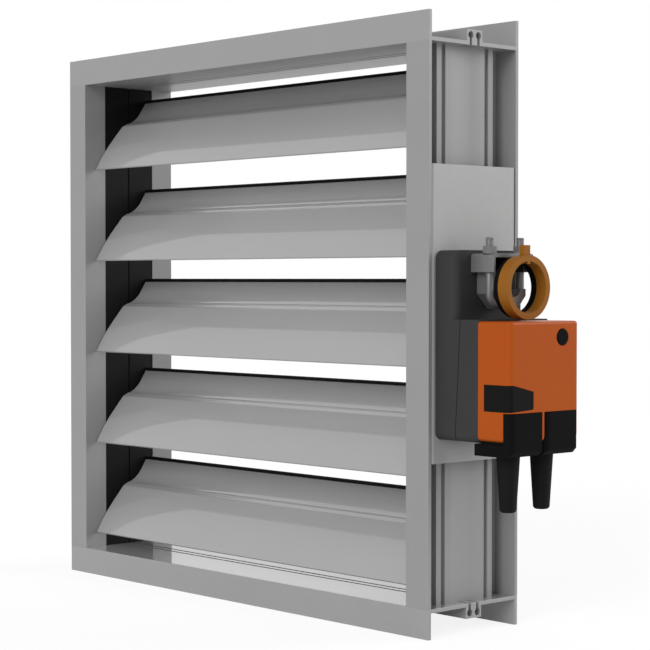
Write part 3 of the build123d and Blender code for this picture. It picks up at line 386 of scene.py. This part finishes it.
def cutParting(base):
    # cuts the base twice behind the parting face and sinks the band between the cuts
    front = partingShape["lip"] * mm
    back = front + partingShape["width"] * mm
    slack = partingShape["slack"] * mm

    def inBand(face):
        behind = [(shellLow - vert.co).dot(partingNormal) for vert in face.verts]
        place = face.calc_center_median()
        inside = min(place.y - shellLow.y, shellHigh.y - place.y, place.z - shellLow.z, shellHigh.z - place.z)
        return (front - slack < min(behind) and max(behind) < back + slack
                and inside < partingShape["outside"] * mm)

    for gap in (front, back):
        bpy.ops.mesh.select_all(action="SELECT")
        bpy.ops.mesh.bisect(plane_co=shellLow - partingNormal * gap, plane_no=partingNormal)
    pick(base, "FACE", inBand)
    bpy.ops.mesh.extrude_region_shrink_fatten(
        TRANSFORM_OT_shrink_fatten={"value": -partingShape["depth"] * mm, "use_even_offset": True})


for node, width in edgeWidths.items():
    skin = copyOf(node)
    if node == "actuator_base":
        edited(skin, lambda: cutParting(skin))
    if node == "actuator_cover":
        roundEdges(skin, coverOutline, coverEdge)
    smoothed(skin, width, edgeShape["sharp"])
    standsFor(skin, node)
print("edges rounded", len(edgeWidths))

# Blades: the soft bends of the extrusion first, then its sharp edges
bladeShape = {"valley": {"from": 18, "to": 45, "width": 3.4, "segments": 8},
              "knee": {"from": 8, "to": 18, "width": 1.0, "segments": 3}, "edge": 0.3, "sharp": 40, "long": 300}


def roundBends(blade, bends):
    # rounds the bends that run along a blade and lie between two angles
    def bend(edge):
        along = abs(edge.verts[0].co.x - edge.verts[1].co.x) > bladeShape["long"] * mm
        return (along and len(edge.link_faces) == 2
                and radians(bends["from"]) < edge.calc_face_angle() < radians(bends["to"]))

    roundEdges(blade, bend, bends)


for number in range(1, bladeCount + 1):
    node = f"blade_{number}"
    blade = copyOf(node)
    roundBends(blade, bladeShape["valley"])
    roundBends(blade, bladeShape["knee"])
    smoothed(blade, bladeShape["edge"], bladeShape["sharp"], flat=False)
    standsFor(blade, node)
print("blades shaped", bladeCount)

# Cross recesses in the heads of the screws, with the axis that each set of screws points along
recessShape = {"width": 0.8, "depth": 1.1, "sharp": 35}
screwHeads = {"frame_screws": {"axis": 2, "length": 4.2}, "bracket_screws": {"axis": 0, "length": 3.4},
              "actuator_screws": {"axis": 0, "length": 3.4}}
middleHeight = (solidsBox[0][2] + solidsBox[1][2]) / 2


def crossCutter(place, axis, length):
    # two crossed bars with their middle on the face of a head
    bars = []
    for across in range(3):
        if across == axis:
            continue
        sizes = [recessShape["width"] * mm] * 3
        sizes[across] = length * mm
        sizes[axis] = 2 * recessShape["depth"] * mm
        bpy.ops.object.select_all(action="DESELECT")
        bpy.ops.mesh.primitive_cube_add(size=1, location=place, scale=sizes)
        bars.append(bpy.context.object)
    for bar in bars:
        bar.select_set(True)
    bpy.ops.object.join()
    return bpy.context.object


def headEnd(low, high, axis):
    # the frame's upper screws have their heads on top, all the others at their low end
    return high if axis == 2 and high.z > middleHeight else low


for node, head in screwHeads.items():
    axis = head["axis"]
    screws = copyOf(node)
    for low, high in looseBoxes(screws):
        place = (low + high) / 2
        place[axis] = headEnd(low, high, axis)[axis]
        cutter = crossCutter(place, axis, head["length"])
        applied(screws, "BOOLEAN", object=cutter, operation="DIFFERENCE", solver="EXACT", use_self=True)
        bpy.data.objects.remove(cutter)
    shadedSmooth(screws, recessShape["sharp"])
    standsFor(screws, node)
print("screw heads cut", len(screwHeads))

# Threads on the two legs of the U-bolt, from a height above the underside of the nuts
threadShape = {"pitch": 0.8, "depth": 0.28, "start": 4.0, "tip": 0.6, "sharp": 30}
nutBoxes = looseBoxes(bpy.data.objects["clamp_nuts_skin"])
boltLow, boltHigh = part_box("clamp_u_bolt")
boltRadius = (boltHigh[0] - boltLow[0]) / 2
threadStart = nutBoxes[0][0].z + threadShape["start"] * mm


def growThread(bolt, centre):
    # carries the open end of one leg upward in ridges, and closes it with a small chamfer
    ridge = threadShape["pitch"] / 2 * mm
    tip = threadShape["tip"] * mm
    turns = int((boltHigh[2] - threadStart) / (threadShape["pitch"] * mm)) - 1
    root = 1 - threadShape["depth"] * mm / boltRadius

    def raiseEnd(rise, factor, height):
        bpy.ops.mesh.extrude_region_move(TRANSFORM_OT_translate={"value": (0, 0, rise)})
        bpy.ops.transform.resize(value=(factor, factor, 1), center_override=(centre.x, centre.y, height))

    pick(bolt, "EDGE", lambda edge: edge.is_boundary and abs(
        (edge.verts[0].co.y + edge.verts[1].co.y) / 2 - centre.y) < 2 * boltRadius)
    height = threadStart
    for turn in range(turns):
        for factor in (root, 1 / root):
            height += ridge
            raiseEnd(ridge, factor, height)
    raiseEnd(boltHigh[2] - height - tip, 1, boltHigh[2] - tip)
    raiseEnd(tip, 1 - tip / boltRadius, boltHigh[2])
    bpy.ops.mesh.edge_face_add()


bolt = copyOf("clamp_u_bolt")
edited(bolt, lambda: bpy.ops.mesh.bisect(plane_co=(0, 0, threadStart), plane_no=(0, 0, 1), clear_outer=True))
for low, high in nutBoxes:
    edited(bolt, lambda: growThread(bolt, (low + high) / 2))
edited(bolt, lambda: bpy.ops.mesh.select_mode(type="VERT"),
       lambda: bpy.ops.mesh.select_all(action="SELECT"),
       lambda: bpy.ops.mesh.normals_make_consistent(inside=False))
shadedSmooth(bolt, threadShape["sharp"])
standsFor(bolt, "clamp_u_bolt")
print("bolt threaded")


# Camera, light and floor, in metres

cameraLook = {"place": (1.03258, -0.84903, 0.22981), "pitch": 1.4056, "yaw": 47.685, "lens": 104.13,
              "sensor": 36, "near": 0.05}
lamps = {
    "sideSun": {"aim": (-0.52, -0.74, -0.42), "strength": 1.3, "angle": 40},
    "frontSun": {"aim": (-0.25, 0.87, -0.42), "strength": 1.6, "angle": 35},
}
worldLook = {"strength": 0.45, "seenStrength": 1.0}
floorLook = {"size": 8.0, "level": 0.9, "roughness": 0.9, "specular": 0.1, "share": 0.8, "glow": 1.07}
plainWhite = (1, 1, 1)
anyRay = 0.5  # the sum of the rays below is above it when one of them is set

camera = bpy.data.objects.new("camera", bpy.data.cameras.new("camera"))
bpy.context.scene.collection.objects.link(camera)
camera.location = cameraLook["place"]
camera.rotation_euler = (radians(90 - cameraLook["pitch"]), 0, radians(cameraLook["yaw"]))
camera.data.lens = cameraLook["lens"]
camera.data.sensor_width = cameraLook["sensor"]
camera.data.clip_start = cameraLook["near"]
bpy.context.scene.camera = camera

for name, look in lamps.items():
    lamp = bpy.data.objects.new(name, bpy.data.lights.new(name, "SUN"))
    lamp.data.energy = look["strength"]
    lamp.data.angle = radians(look["angle"])
    lamp.rotation_euler = Vector(look["aim"]).to_track_quat("-Z", "Y").to_euler()
    bpy.context.scene.collection.objects.link(lamp)


def seenRays(nodes):
    # 1 for the rays that show the background, straight or in a shiny surface
    cameraRay = nodes.node("ShaderNodeLightPath")
    rays = cameraRay.socket.node.outputs
    return cameraRay + Wire(nodes, rays["Is Glossy Ray"]) + Wire(nodes, rays["Is Transmission Ray"]) > anyRay


world = bpy.data.worlds.new("studio")
bpy.context.scene.world = world
world.use_nodes = True
sky = Nodes(world.node_tree)
soft, white = (sky.node("ShaderNodeBackground", None, {"Color": plainWhite, "Strength": worldLook[strength]})
               for strength in ("strength", "seenStrength"))
sky.node("ShaderNodeOutputWorld", None,
         {0: sky.node("ShaderNodeMixShader", None, {0: seenRays(sky), 1: soft, 2: white})})

bpy.ops.object.select_all(action="DESELECT")
bpy.ops.mesh.primitive_plane_add(size=floorLook["size"], location=(0, 0, 0))
floor = bpy.context.object
floor.name = "studioFloor"
floorFinish = Finish("floorPaint", Base_Color=grey(floorLook["level"]), Roughness=floorLook["roughness"],
                     Specular_IOR_Level=floorLook["specular"])
glow = floorFinish.node("ShaderNodeEmission", None, {"Color": plainWhite, "Strength": floorLook["glow"]})
blend = floorFinish.node("ShaderNodeMixShader", None,
                         {0: seenRays(floorFinish) * floorLook["share"], 1: floorFinish.shader, 2: glow})
floorOutput = next(node for node in floorFinish.tree.nodes if node.type == "OUTPUT_MATERIAL")
floorFinish.feed(floorOutput, {"Surface": blend})
floor.data.materials.append(floorFinish.material)
bpy.context.scene.view_settings.view_transform = "Standard"
print("studio ready")
